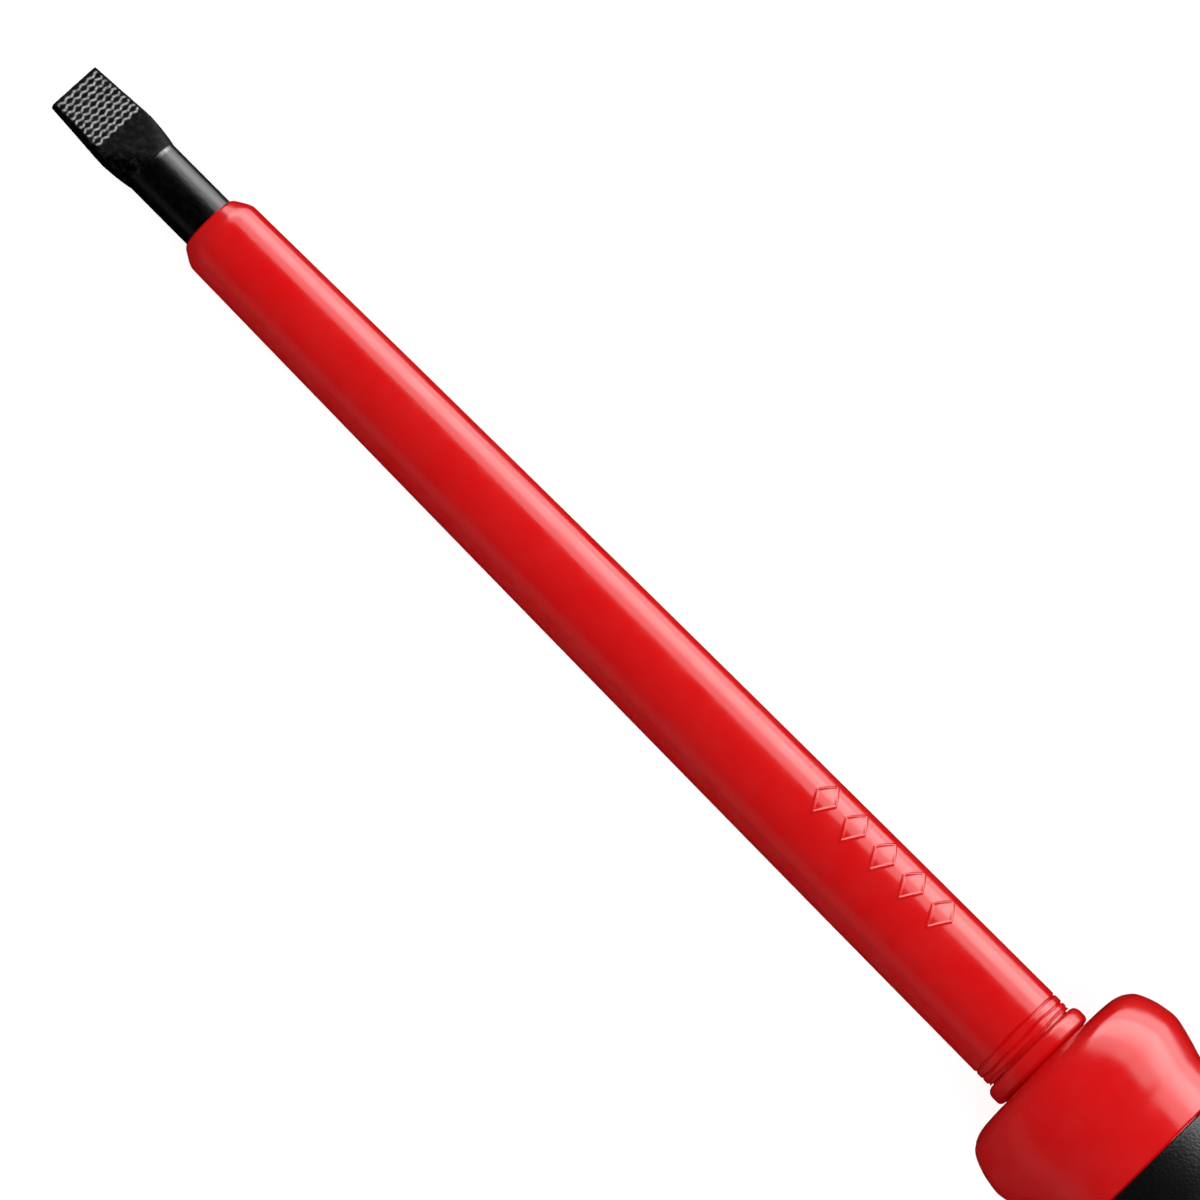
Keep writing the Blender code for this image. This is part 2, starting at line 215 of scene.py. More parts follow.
# Lights: name, place from the middle of the guard's face, size, power, and what the light feeds.
LIGHTS = (
    ("side_softbox", (-0.45, 1.00, 0.02), (2.1, 1.42), 32.0, "glossy"),
    ("side_core", (-0.45, 1.02, 0.00), (2.1, 0.50), 12.0, "glossy"),
    ("front_fill", (-0.30, -1.00, 0.22), (2.0, 0.50), 0.5, "glossy"),
    ("key", (-0.05, 1.10, 1.40), (1.2, 1.00), 33.0, "diffuse"),
)
WORLD_STRENGTH = 0.62
FLOOR_REACH = 12.0
FLOOR_DROP = 0.00002


def tool_place():
    """Matrix from the tool's own coordinates to the row frame, from the butt's mount."""
    butt = next(m for m in frame["record"]["mounts"] if m["name"] == "butt_face")
    along = Vector(butt["axis"]).normalized()
    across = Vector((0.0, 1.0, 0.0))
    up = along.cross(across)
    origin = Vector(butt["pos_m"]) - along * BUTT
    turn = Matrix((along, across, up)).transposed().to_4x4()
    return Matrix.Translation(origin) @ turn


PLACE = tool_place()
GUARD_CENTRE = PLACE @ Vector((0.0, 0.0, 0.0))


# ---- Curves and outlines ----


def eased(points, stations):
    """Values at stations on a smooth curve through (station, value) points."""
    places, values = np.array(points, float).T
    slopes = np.empty_like(values)
    slopes[1:-1] = (values[2:] - values[:-2]) / (places[2:] - places[:-2])
    slopes[0] = (values[1] - values[0]) / (places[1] - places[0])
    slopes[-1] = (values[-1] - values[-2]) / (places[-1] - places[-2])
    stations = np.asarray(stations, float)
    i = np.clip(np.searchsorted(places, stations, side="right") - 1, 0, len(places) - 2)
    length = places[i + 1] - places[i]
    t = np.clip((stations - places[i]) / length, 0.0, 1.0)
    low = values[i]
    high = values[i + 1]
    bend = length * (slopes[i] * t * (1 - t) ** 2 - slopes[i + 1] * t * t * (1 - t))
    return low + (high - low) * (3 - 2 * t) * t * t + bend


def lobe(angles):
    """1 on a lobe's crest and 0 in the softened bottom of a flute."""
    wave = np.hypot(np.cos(0.5 * LOBES * angles), FLUTE_SOFTNESS)
    crest = math.hypot(1.0, FLUTE_SOFTNESS)
    return (wave - FLUTE_SOFTNESS) / (crest - FLUTE_SOFTNESS)


def grip_radius(stations, angles):
    """Radius of the handle's outer surface."""
    depth = np.maximum(0.0, eased(FLUTE, stations))
    return eased(CREST, stations) - depth * (1 - lobe(angles))


def sleeve_radius(stations):
    """The sleeve swells towards the handle in a slightly bowed taper."""
    t = (stations - SLEEVE_FRONT) / -SLEEVE_FRONT
    taper = SLEEVE_MOUTH_RADIUS + (SLEEVE_END_RADIUS - SLEEVE_MOUTH_RADIUS) * t
    return taper + SLEEVE_BOW * t * (1 - t)


def filleted(corners, steps=6):
    """A closed outline of (station, radius, fillet) corners, each rounded over its fillet length."""
    outline = []
    for i, (station, radius, fillet) in enumerate(corners):
        corner = np.array((station, radius))
        if fillet == 0:
            outline.append(corner)
            continue
        before = np.array(corners[i - 1][:2]) - corner
        after = np.array(corners[(i + 1) % len(corners)][:2]) - corner
        first = corner + before / np.linalg.norm(before) * fillet
        last = corner + after / np.linalg.norm(after) * fillet
        for t in np.linspace(0.0, 1.0, steps + 1):
            outline.append(first * (1 - t) ** 2 + corner * 2 * t * (1 - t) + last * t * t)
    return np.array(outline)


def even_angles(count):
    """Angles of a full turn, evenly spaced."""
    return np.arange(count) * (2 * math.pi / count)


def ridge(distance, half_width):
    """A smooth ridge of height 1 where distance is 0, which ends at its half width."""
    t = np.clip(1 - np.abs(distance) / half_width, 0.0, 1.0)
    return (3 - 2 * t) * t * t


# ---- Meshes ----


def rings(outline, angles):
    """Round rings of points, one for each (station, radius) point of an outline."""
    outline = np.array(outline, float)
    return grid_points(outline[:, 0, None], angles, outline[:, 1, None])


def grid_points(stations, angles, radii):
    """Rings of points: one ring for each station, one point for each angle."""
    stations, angles, radii = np.broadcast_arrays(stations, angles, radii)
    return np.stack((stations, radii * np.cos(angles), radii * np.sin(angles)), axis=-1)


def skin(name, grid, finish, is_tube=False, sharp=35.0):
    """A closed surface over rings of points, with flat ends or with its last ring joined to its first."""
    count, size = grid.shape[:2]
    index = np.arange(count * size).reshape(count, size)
    near = index if is_tube else index[:-1]
    far = np.roll(index, -1, axis=0) if is_tube else index[1:]
    faces = np.stack((near, np.roll(near, -1, axis=1), np.roll(far, -1, axis=1), far), axis=-1)
    faces = faces.reshape(-1, 4).tolist()
    if not is_tube:
        faces += [index[0].tolist(), index[-1].tolist()]
    mesh = bpy.data.meshes.new(name)
    mesh.from_pydata(grid.reshape(-1, 3).tolist(), [], faces)
    finished(mesh, sharp)
    mesh.materials.append(finish)
    obj = bpy.data.objects.new(name, mesh)
    bpy.context.scene.collection.objects.link(obj)
    obj.matrix_world = PLACE
    return obj


def finished(mesh, sharp):
    """Outward normals, smooth shading, and sharp edges over the given angle."""
    bm = bmesh.new()
    bm.from_mesh(mesh)
    bmesh.ops.recalc_face_normals(bm, faces=bm.faces)
    bm.to_mesh(mesh)
    bm.free()
    mesh.shade_smooth()
    mesh.set_sharp_from_angle(angle=math.radians(sharp))


def turned(name, outline, steps, finish):
    """A ring turned from a closed outline of (station, radius) points."""
    return skin(name, rings(outline, even_angles(steps)[None, :]), finish, is_tube=True)


def stand_for(piece, slot, *nodes):
    """Hides the CAD nodes that a finished piece shows and hangs the piece under the root body; slot is not
    used.
    """
    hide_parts(*nodes)
    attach(piece, "root")


# ---- Materials ----


class Finish:
    """A Principled material with a few helpers for its nodes."""

    def __init__(self, name):
        self.made = bpy.data.materials.new(name)
        self.made.use_nodes = True
        self.tree = self.made.node_tree
        self.shader = self.tree.nodes["Principled BSDF"]
        self.place = self.node("ShaderNodeTexCoord").outputs["Object"]

    def node(self, kind, **settings):
        """A new node with its properties set."""
        made = self.tree.nodes.new(kind)
        for key, value in settings.items():
            setattr(made, key, value)
        return made

    def link(self, source, target):
        self.tree.links.new(source, target)

    def stretched(self, scale):
        """Object coordinates, scaled along each axis."""
        mapping = self.node("ShaderNodeMapping")
        mapping.inputs["Scale"].default_value = scale
        self.link(self.place, mapping.inputs["Vector"])
        return mapping.outputs["Vector"]

    def noise(self, scale, detail=3.0, vector=None, roughness=0.5):
        """Noise in object coordinates, or in the given ones."""
        made = self.node("ShaderNodeTexNoise")
        made.inputs["Scale"].default_value = scale
        made.inputs["Detail"].default_value = detail
        made.inputs["Roughness"].default_value = roughness
        self.link(vector or self.place, made.inputs["Vector"])
        return made.outputs["Fac"]

    def ranged(self, value, low, high, start=0.3, end=0.7):
        """A value between start and end, mapped to between low and high."""
        made = self.node("ShaderNodeMapRange")
        for key, number in (("From Min", start), ("From Max", end), ("To Min", low), ("To Max", high)):
            made.inputs[key].default_value = number
        self.link(value, made.inputs["Value"])
        return made.outputs["Result"]

    def ramp(self, value, *stops):
        """A colour ramp through (position, colour) stops."""
        made = self.node("ShaderNodeValToRGB")
        elements = made.color_ramp.elements
        while len(elements) < len(stops):
            elements.new(0.5)
        for element, (position, colour) in zip(elements, stops):
            element.position = position
            element.color = (*colour, 1.0)
        self.link(value, made.inputs["Fac"])
        return made.outputs["Color"]

    def mixed(self, share, first, second):
        """The second colour over the first by a share."""
        made = self.node("ShaderNodeMix", data_type="RGBA")
        self.link(share, made.inputs["Factor"])
        for key, colour in (("A", first), ("B", second)):
            socket = next(s for s in made.inputs if s.name == key and s.type == "RGBA")
            if isinstance(colour, tuple):
                socket.default_value = (*colour, 1.0)
            else:
                self.link(colour, socket)
        return next(s for s in made.outputs if s.type == "RGBA")

    def bumped(self, height, strength, distance, below=None):
        """A normal raised by a height, on top of the normal below it."""
        made = self.node("ShaderNodeBump")
        made.inputs["Strength"].default_value = strength
        made.inputs["Distance"].default_value = distance
        self.link(height, made.inputs["Height"])
        if below is not None:
            self.link(below, made.inputs["Normal"])
        return made.outputs["Normal"]

    def put(self, **sockets):
        """Sets or links the shader's sockets, with _ for the spaces in their names."""
        for name, value in sockets.items():
            socket = self.shader.inputs[name.replace("_", " ")]
            if isinstance(value, bpy.types.NodeSocket):
                self.link(value, socket)
            else:
                socket.default_value = value


def red_plastic(name, low, high, roughness):
    """Satin moulded plastic: faint flow streaks along the tool, fine orange peel, uneven gloss."""
    finish = Finish(name)
    streaks = finish.noise(55.0, 4.0, finish.stretched((0.35, 1.0, 1.0)), 0.55)
    cloud = finish.noise(900.0, 5.0, None, 0.6)
    colour = finish.mixed(
        finish.ranged(cloud, 0.0, 0.35),
        finish.ramp(streaks, (0.32, low), (0.68, high)),
        tuple(0.93 * part for part in low),
    )
    waves = finish.bumped(finish.noise(260.0, 2.0, finish.stretched((0.5, 1.0, 1.0))), 0.22, 0.00012)
    peel = finish.bumped(finish.noise(2600.0, 3.0), 0.16, 0.00003, waves)
    finish.put(
        Base_Color=colour,
        Roughness=finish.ranged(finish.noise(380.0, 4.0), roughness - 0.04, roughness + 0.05),
        Specular_IOR_Level=0.5,
        Normal=peel,
    )
    return finish.made


def black_steel(name, dark, pale, roughness, specular):
    """Black oxide on steel: mottled, drawn lengthwise, rubbed to bare grey on the etched ridges, and painted
    pale grey as a highlight (glint) where the shaft starts, on the side facing the lights.
    """
    finish = Finish(name)
    mottle = finish.noise(1500.0, 5.0, None, 0.65)
    drawn = finish.noise(1.0, 4.0, finish.stretched((260.0, 3600.0, 3600.0)), 0.6)
    # This share paints pale grey: the bare steel of the etched ridges, and a painted highlight (glint) at
    # the start of the shaft.
    wear_and_glint_share = finish.node("ShaderNodeAttribute", attribute_name="ridge_wear_and_painted_glint").outputs["Fac"]
    bare_and_glint_grey = finish.ramp(
        finish.noise(4200.0, 3.0), (0.34, (0.085, 0.086, 0.088)), (0.64, (0.360, 0.362, 0.365))
    )
    skin_bump = finish.bumped(mottle, 0.45, 0.00005)
    finish.put(
        Base_Color=finish.mixed(wear_and_glint_share, finish.ramp(mottle, (0.46, dark), (0.68, pale)), bare_and_glint_grey),
        Roughness=finish.ranged(drawn, roughness, roughness + 0.09),
        Specular_IOR_Level=specular,
        Normal=finish.bumped(drawn, 0.20, 0.00002, skin_bump),
    )
    return finish.made


def soft_black():
    """Soft-touch thermoplastic rubber: a fine pebbled grain that catches a grey sheen."""
    finish = Finish("black_soft_grip")
    grain = finish.node("ShaderNodeTexVoronoi", feature="SMOOTH_F1")
    grain.inputs["Scale"].default_value = 4200.0
    finish.link(finish.place, grain.inputs["Vector"])
    pebbles = finish.bumped(grain.outputs["Distance"], 0.55, 0.00006)
    dust = finish.noise(160.0, 4.0, None, 0.6)
    fine = finish.noise(6800.0, 3.0)
    finish.put(
        Base_Color=finish.mixed(
            finish.ranged(fine, 0.0, 0.5),
            finish.ramp(dust, (0.30, (0.0012, 0.0012, 0.0014)), (0.70, (0.0028, 0.0028, 0.0031))),
            (0.0070, 0.0070, 0.0075),
        ),
        Roughness=finish.ranged(dust, 0.36, 0.50),
        Specular_IOR_Level=0.42,
        Normal=finish.bumped(fine, 0.30, 0.00003, pebbles),
    )
    return finish.made


def dark_disc():
    """Dark moulded inlay with fine turned rings and a dull, slightly scuffed face."""
    finish = Finish("dark_disc_plastic")
    scuff = finish.noise(700.0, 5.0, None, 0.7)
    finish.put(
        Base_Color=finish.ramp(scuff, (0.35, (0.016, 0.016, 0.017)), (0.70, (0.034, 0.034, 0.036))),
        Roughness=finish.ranged(scuff, 0.38, 0.56),
        Normal=finish.bumped(finish.noise(3000.0, 3.0), 0.20, 0.00003),
    )
    return finish.made


def light_liner():
    """The light under-layer of the insulation: waxy, with a faint drawn grain."""
    finish = Finish("light_insulation")
    drawn = finish.noise(1.0, 3.0, finish.stretched((300.0, 2400.0, 2400.0)))
    finish.put(
        Base_Color=finish.ramp(drawn, (0.30, (0.74, 0.69, 0.53)), (0.70, (0.86, 0.82, 0.68))),
        Roughness=finish.ranged(drawn, 0.40, 0.52),
        Normal=finish.bumped(drawn, 0.15, 0.00003),
    )
    return finish.made


def pale_floor():
    """A matt, almost white floor with a barely visible cloud."""
    finish = Finish("pale_floor")
    finish.put(
        Base_Color=finish.ramp(finish.noise(3.0, 2.0), (0.2, (0.90, 0.90, 0.90)), (0.8, (0.92, 0.92, 0.92))),
        Roughness=0.9,
        Specular_IOR_Level=0.1,
    )
    return finish.made


# ---- Blade ----


def square_points(across, over):
    """Points round a square of half side 1, with more of them on its top and bottom sides."""
    side = np.linspace(-1.0, 1.0, over + 1)[:-1]
    top = np.linspace(1.0, -1.0, across + 1)[:-1]
    right = np.stack((np.ones_like(side), side), axis=-1)
    upper = np.stack((top, np.ones_like(top)), axis=-1)
    return np.concatenate((right, upper, -right, -upper))


def etched(from_tip, across, half_width):
    """Height share of the zigzag ridges across the tip's faces."""
    line = np.round((from_tip - ETCH_START) / ETCH_PITCH)
    phase = across / ETCH_PERIOD + 0.5 * line
    zigzag = 2 * np.abs(2 * (phase - np.floor(phase)) - 1) - 1
    centre = ETCH_START + line * ETCH_PITCH + ETCH_SWING * zigzag
    inside = (line >= 0) & (line < ETCH_LINES)
    edge = np.clip((half_width - ETCH_MARGIN - np.abs(across)) / ETCH_FADE, 0.0, 1.0)
    return ridge(from_tip - centre, ETCH_HALF_WIDTH) * inside * edge


def blade_stations():
    """Stations of the blade's rings, closest together on the etched faces."""
    return np.concatenate(
        (
            np.array((TIP, TIP + 0.00006)),
            np.arange(TIP + 0.0001, ETCH_END, 0.00004),
            np.arange(ETCH_END, SHAFT_START, 0.00012),
            np.arange(SHAFT_START, SHAFT_START + 0.0006, 0.0001),
            np.array((SHAFT_START + 0.001, -0.100, -0.05, 0.0, WING_START)),
            np.linspace(WING_START, WING_START + WING_SLOPE, 8)[1:],
            np.linspace(WING_END - WING_SLOPE, WING_END, 8),
            np.array((TANG_END - 0.0010, TANG_END)),
        )
    )


def blade_outline(stations):
    """Width, thickness and squareness of the blade at its stations."""
    sections = np.array(BLADE_SECTIONS, float)
    width = np.interp(stations, sections[:, 0], sections[:, 1])
    thickness = np.interp(stations, sections[:, 0], sections[:, 2])
    power = 1 / np.interp(stations, sections[:, 0], 1 / sections[:, 3])
    swell = np.interp(
        stations,
        (WING_START, WING_START + WING_SLOPE, WING_END - WING_SLOPE, WING_END),
        (0.0, 1.0, 1.0, 0.0),
    )
    is_tang = stations > WING_START
    width = np.where(is_tang, SHAFT_DIAMETER + (WING_WIDTH - SHAFT_DIAMETER) * swell, width)
    thickness = np.where(is_tang, SHAFT_DIAMETER + (WING_THICKNESS - SHAFT_DIAMETER) * swell, thickness)
    return width, thickness, np.where(is_tang, 2 + swell, power)


def make_blade(forged, drawn):
    """The whole bar, with raised etched ridges whose wear, and a painted highlight (glint) at the start of
    the shaft, are kept for the material.
    """
    side, rise = square_points(120, 14).T
    stations = blade_stations()
    width, thickness, power = blade_outline(stations)
    nose = np.where(stations <= TIP, 0.985, 1.0)
    nose = np.where(stations >= TANG_END, 0.65, nose)
    power = power[:, None]
    pull = (np.abs(side) ** power + np.abs(rise) ** power) ** (-1 / power)
    across = 0.5 * (width * nose)[:, None] * side * pull
    height = 0.5 * (thickness * nose)[:, None] * rise * pull
    is_face = np.abs(rise) > 0.999
    wear_and_glint = etched((stations - TIP)[:, None], across, 0.5 * width[:, None]) * is_face
    wear_and_glint *= (stations > TIP + 0.0002)[:, None]
    height = height + ETCH_HEIGHT * wear_and_glint * np.sign(rise)
    turn_c, turn_s = math.cos(BLADE_ROLL), math.sin(BLADE_ROLL)
    grid = np.stack(
        (
            np.broadcast_to(stations[:, None], across.shape),
            across * turn_c - height * turn_s,
            across * turn_s + height * turn_c,
        ),
        axis=-1,
    )
    turn = np.arctan2(grid[..., 2], grid[..., 1])
    # Painted highlight: a pale grey glint painted round the start of the shaft, only on the side that faces
    # the lights.
    glint = ridge(stations[:, None] - SHAFT_START - 0.00002, GLINT_HALF_LENGTH)
    glint = glint * ridge(turn - GLINT_ANGLE, GLINT_HALF_ANGLE)
    blade = skin("steel_blade", grid, forged, sharp=50.0)
    blade.data.materials.append(drawn)
    for face in blade.data.polygons:
        face.material_index = int(face.center.x > SHAFT_START - 0.0002)
    shown = blade.data.attributes.new("ridge_wear_and_painted_glint", "FLOAT", "POINT")
    # The etched ridge wear and the painted glint go into one attribute.
    wear_and_glint = np.clip(np.maximum(wear_and_glint * 1.2, glint), 0.0, 1.0)
    shown.data.foreach_set("value", wear_and_glint.astype(np.float32).ravel())
    stand_for(blade, "blade_steel", "blade")


# ---- Insulation ----


def lozenge_height(stations, angles):
    """Thin raised outlines of five lozenges in a row along the sleeve."""
    arc = (angles - LOZENGE_ANGLE) * SLEEVE_END_RADIUS
    scale = LOZENGE_HALF_LENGTH * LOZENGE_HALF_ARC / math.hypot(LOZENGE_HALF_LENGTH, LOZENGE_HALF_ARC)
    height = np.zeros(np.broadcast_shapes(stations.shape, angles.shape))
    for centre in LOZENGES:
        reach = np.abs(stations - centre) / LOZENGE_HALF_LENGTH + np.abs(arc) / LOZENGE_HALF_ARC
        height = np.maximum(height, ridge((reach - 1) * scale, LOZENGE_LINE))
    return LOZENGE_HEIGHT * height


def groove_depth(stations, angles):
    """Three fine ring grooves, each a little uneven round the sleeve."""
    depth = np.zeros(np.broadcast_shapes(stations.shape, angles.shape))
    for i, centre in enumerate(GROOVES):
        wander = 0.00005 * np.sin(3 * angles + 1.7 * i) + 0.00004 * np.sin(7 * angles + 2.9 * i)
        strength = 0.70 + 0.18 * np.sin(5 * angles + 2.1 * i) + 0.12 * np.sin(angles + 0.4)
        depth = np.maximum(depth, strength * ridge(stations - centre - wander, GROOVE_HALF_WIDTH))
    return GROOVE_DEPTH * depth


def make_sleeve(finish):
    """The tapered sleeve with its chamfered lip, lozenges, grooves and stepped bore."""
    lip_bore = SHAFT_RADIUS + FIT_GAP
    liner_bore = lip_bore + INNER_WALL + FIT_GAP
    liner_seat = SLEEVE_FRONT + LINER_SETBACK - FIT_GAP
    mouth_end = SLEEVE_FRONT + MOUTH_LENGTH
    rise = sleeve_radius(mouth_end) - lip_bore
    after = mouth_end + 0.002
    lip = filleted(
        (
            (SLEEVE_FRONT, lip_bore, 0),
            (SLEEVE_FRONT + 0.08 * MOUTH_LENGTH, lip_bore + 0.20 * rise, 0.00014),
            (SLEEVE_FRONT + 0.75 * MOUTH_LENGTH, lip_bore + 0.90 * rise, 0.00045),
            (mouth_end, lip_bore + rise, 0.00030),
            (after, sleeve_radius(after), 0),
        ),
        8,
    )
    start, end = MARK_SECTOR
    sector = np.arange(start, end, math.radians(0.75))
    others = np.linspace(end, start + 2 * math.pi, 78)[:-1]
    angles = np.concatenate((sector, others))[None, :]
    stations = np.concatenate(
        (
            np.arange(after + 0.001, LOZENGES[0] - 0.0015, 0.0015),
            np.arange(LOZENGES[0] - 0.0014, LOZENGES[-1] + 0.0014, 0.00007),
            np.arange(LOZENGES[-1] + 0.0015, GROOVES[0] - 0.0006, 0.001),
            np.arange(GROOVES[0] - 0.0005, NECK_SEAT, 0.00004),
        )
    )[:, None]
    radii = sleeve_radius(stations) + lozenge_height(stations, angles) - groove_depth(stations, angles)
    inside = (
        (NECK_SEAT, SLEEVE_SEAT_RADIUS),
        (SLEEVE_BACK, SLEEVE_SEAT_RADIUS),
        (SLEEVE_BACK, liner_bore),
        (liner_seat, liner_bore),
        (liner_seat, lip_bore),
    )
    grid = np.concatenate((rings(lip, angles), grid_points(stations, angles, radii), rings(inside, angles)))
    sleeve = skin("red_sleeve", grid, finish, True, 45.0)
    stand_for(sleeve, "insulation_red", "blade_sleeve")


def make_neck_bead(finish):
    """The rounded bead whose back end stands in the guard's pocket."""
    bore = SLEEVE_SEAT_RADIUS + FIT_GAP
    front, back = NECK_SEAT + FIT_GAP, NECK_POCKET - FIT_GAP
    step = back - 0.00015
    outline = filleted(
        (
            (front, bore, 0),
            (front, NECK_RADIUS, NECK_FRONT_ROUND),
            (step, NECK_RADIUS, NECK_BACK_ROUND),
            (step, NECK_RADIUS - NECK_BACK_ROUND, 0),
            (back, NECK_RADIUS - 0.0007, 0),
            (back, bore, 0),
        ),
        8,
    )
    bead = turned("neck_bead", outline, 128, finish)
    stand_for(bead, "insulation_red", "neck_ring")


# ---- Handle ----


def make_guard(finish):
    """The guard: a flat face with a pocket, a rounded rim and a waist behind it."""
    nose_bore = SLEEVE_SEAT_RADIUS + FIT_GAP
    pocket = NECK_RADIUS + FIT_GAP
    shoulder = CORE_FRONT - FIT_GAP
    stations = np.linspace(GUARD[1][0], GUARD[-1][0], 60)
    rim = list(zip(stations, eased(GUARD, stations)))
    inside = [
        (GUARD_BACK, GUARD_BORE),
        (shoulder, GUARD_BORE),
        (shoulder, nose_bore),
        (NECK_POCKET, nose_bore),
        (NECK_POCKET, pocket),
        (0.0001, pocket),
    ]
    outline = [(0.0, pocket + 0.0001), *GUARD_FACE, *rim, *GUARD_REAR, *inside]
    guard = turned("guard_ring", outline, 192, finish)
    stand_for(guard, "handle_red", "guard_collar")


def rolled(start, end, roll, steps, count):
    """Stations from start to end with both edges rolled over, and how far each lies below the surface."""
    turn = np.linspace(0.0, 0.5 * math.pi, steps)
    shifts = roll * (1 - np.cos(turn))
    drops = roll * (1 - np.sin(turn))
    middle = np.linspace(start + roll, end - roll, count)[1:-1]
    stations = np.concatenate((start + shifts, middle, (end - shifts)[::-1]))
    return stations, np.concatenate((drops, np.zeros(len(middle)), drops[::-1]))


def make_front_grip(finish):
    """The soft turning zone, with rounded edges."""
    angles = even_angles(240)[None, :]
    stations, drop = rolled(TURN_START, TURN_END, EDGE_BREAK, 6, 60)
    radii = grip_radius(stations[:, None], angles) - drop[:, None]
    outside = grid_points(stations[:, None], angles, radii)
    inside = grid_points(np.array((TURN_END, TURN_START))[:, None], angles, TURN_BORE)
    grip = skin("soft_front_grip", np.concatenate((outside, inside)), finish, True)
    stand_for(grip, "grip_black", "front_grip")


def window_half_angle(stations):
    """Half the angle of a core window, which leaves a rib of constant width in each flute."""
    flute_radius = grip_radius(stations, math.pi / LOBES)
    return math.pi / LOBES - np.arcsin(RIB_HALF_WIDTH / flute_radius)


def core_outside(stations, is_window):
    """Rings of the core's outside: ribs with rounded edges round the window floors, or the full outline."""
    half = window_half_angle(stations)[:, None]
    wall = WALL_SLOPE / grip_radius(stations, 0.0)[:, None]
    edge = EDGE_BREAK / grip_radius(stations, 0.0)[:, None]
    pitch = math.pi / LOBES
    floor = [half * share for share in np.linspace(-1.0, 1.0, 13)]
    rib_left = [-pitch + (pitch - half - wall - edge) * share for share in np.linspace(0.0, 1.0, 4)]
    rib_right = [-offset for offset in rib_left[:0:-1]]
    left = rib_left + [-half - wall - 0.4 * edge, -half - wall]
    right = [half + wall, half + wall + 0.4 * edge] + rib_right
    offsets = np.concatenate([np.broadcast_to(o, half.shape) for o in left + floor + right], axis=1)
    drops = np.array(
        [RIB_RECESS] * 4
        + [RIB_RECESS + 0.00006, RIB_RECESS + 0.00025]
        + [PAD_THICKNESS] * 13
        + [RIB_RECESS + 0.00025, RIB_RECESS + 0.00006]
        + [RIB_RECESS] * 3
    )
    if not is_window:
        drops = np.full_like(drops, RIB_RECESS)
    angles = np.concatenate([offsets + 2 * pitch * index for index in range(LOBES)], axis=1)
    radii = grip_radius(stations[:, None], angles) - np.tile(drops, LOBES)
    return grid_points(stations[:, None], angles, radii), angles


def make_core(finish):
    """The hard core: a collar at each end, six ribs between its windows, and its stepped bore."""
    start = TURN_END + FIT_GAP
    edge = CORE_EDGE
    front_stations = np.array((start, start + 0.4 * edge, start + edge, PAD_START - edge))
    back_stations = np.array((PAD_END + edge, CORE_BACK - edge, CORE_BACK - 0.4 * edge, CORE_BACK))
    front, angles = core_outside(front_stations, False)
    front[0, :, 1:] *= 1 - 0.00020 / 0.0118
    front[1, :, 1:] *= 1 - 0.00006 / 0.0118
    windows, _ = core_outside(np.linspace(PAD_START, PAD_END, 90), True)
    back, _ = core_outside(back_stations, False)
    back[-1, :, 1:] *= 1 - 0.00020 / 0.0140
    back[-2, :, 1:] *= 1 - 0.00006 / 0.0140
    socket = SPIGOT_RADIUS + FIT_GAP
    socket_front = SPIGOT_FRONT - FIT_GAP
    shaft_bore = 0.5 * WING_WIDTH + 2 * FIT_GAP
    sleeve_bore = SLEEVE_SEAT_RADIUS + FIT_GAP
    inside = (
        (CORE_BACK, socket),
        (socket_front, socket),
        (socket_front, shaft_bore),
        (SLEEVE_BACK + FIT_GAP, shaft_bore),
        (SLEEVE_BACK + FIT_GAP, sleeve_bore),
        (CORE_FRONT, sleeve_bore),
        (CORE_FRONT, GUARD_BORE - FIT_GAP),
        (TURN_START, GUARD_BORE - FIT_GAP),
        (TURN_START, TURN_BORE - FIT_GAP),
        (start, TURN_BORE - FIT_GAP),
    )
    grid = np.concatenate((front, windows, back, rings(inside, angles[:1])))
    core = skin("red_core", grid, finish, True, 40.0)
    stand_for(core, "handle_red", "handle_core")


def make_pad(number, finish):
    """A soft pad with rolled edges and a gently crowned face, set in one window of the core."""
    middle = 2 * math.pi * (number - 1) / LOBES
    stations, end_drop = rolled(PAD_START + PAD_GAP, PAD_END - PAD_GAP, PAD_ROLL, 7, 96)
    turn = np.linspace(0.0, 0.5 * math.pi, 7)
    radius = grip_radius(stations, 0.0)
    half = window_half_angle(stations) - PAD_GAP / radius
    side_roll = (PAD_ROLL * (1 - np.cos(turn)))[None, :] / radius[:, None]
    side_drop = PAD_ROLL * (1 - np.sin(turn))
    faces = half[:, None] - PAD_ROLL / radius[:, None]
    flat = np.linspace(-1.0, 1.0, 30)[None, 1:-1] * faces
    offsets = np.concatenate(
        (-half[:, None] + side_roll, flat, (half[:, None] - side_roll)[:, ::-1]), axis=1
    )
    drop = np.concatenate((side_drop, np.zeros(28), side_drop[::-1]))[None, :]
    drop = np.maximum(drop, end_drop[:, None]) + 0.35 * np.minimum(drop, end_drop[:, None])
    angles = middle + offsets
    outside = grid_points(stations[:, None], angles, grip_radius(stations[:, None], angles) - drop)
    under_angles = middle + half[:, None] * np.linspace(1.0, -1.0, 12)[None, :]
    under_radii = grip_radius(stations[:, None], under_angles) - PAD_THICKNESS + PAD_GAP
    underside = grid_points(stations[:, None], under_angles, under_radii)
    grid = np.concatenate((outside, underside), axis=1)
    pad = skin(f"soft_pad_{number}", grid, finish, False, 40.0)
    stand_for(pad, "grip_black", f"grip_pad_{number}")


def cap_radius(stations, angles):
    """The lobed outline, rounded over at the butt."""
    into_round = np.clip(stations - (BUTT - BUTT_ROUND), 0.0, BUTT_ROUND)
    fillet = BUTT_ROUND - np.sqrt(BUTT_ROUND**2 - into_round**2)
    return grip_radius(stations, angles) - fillet


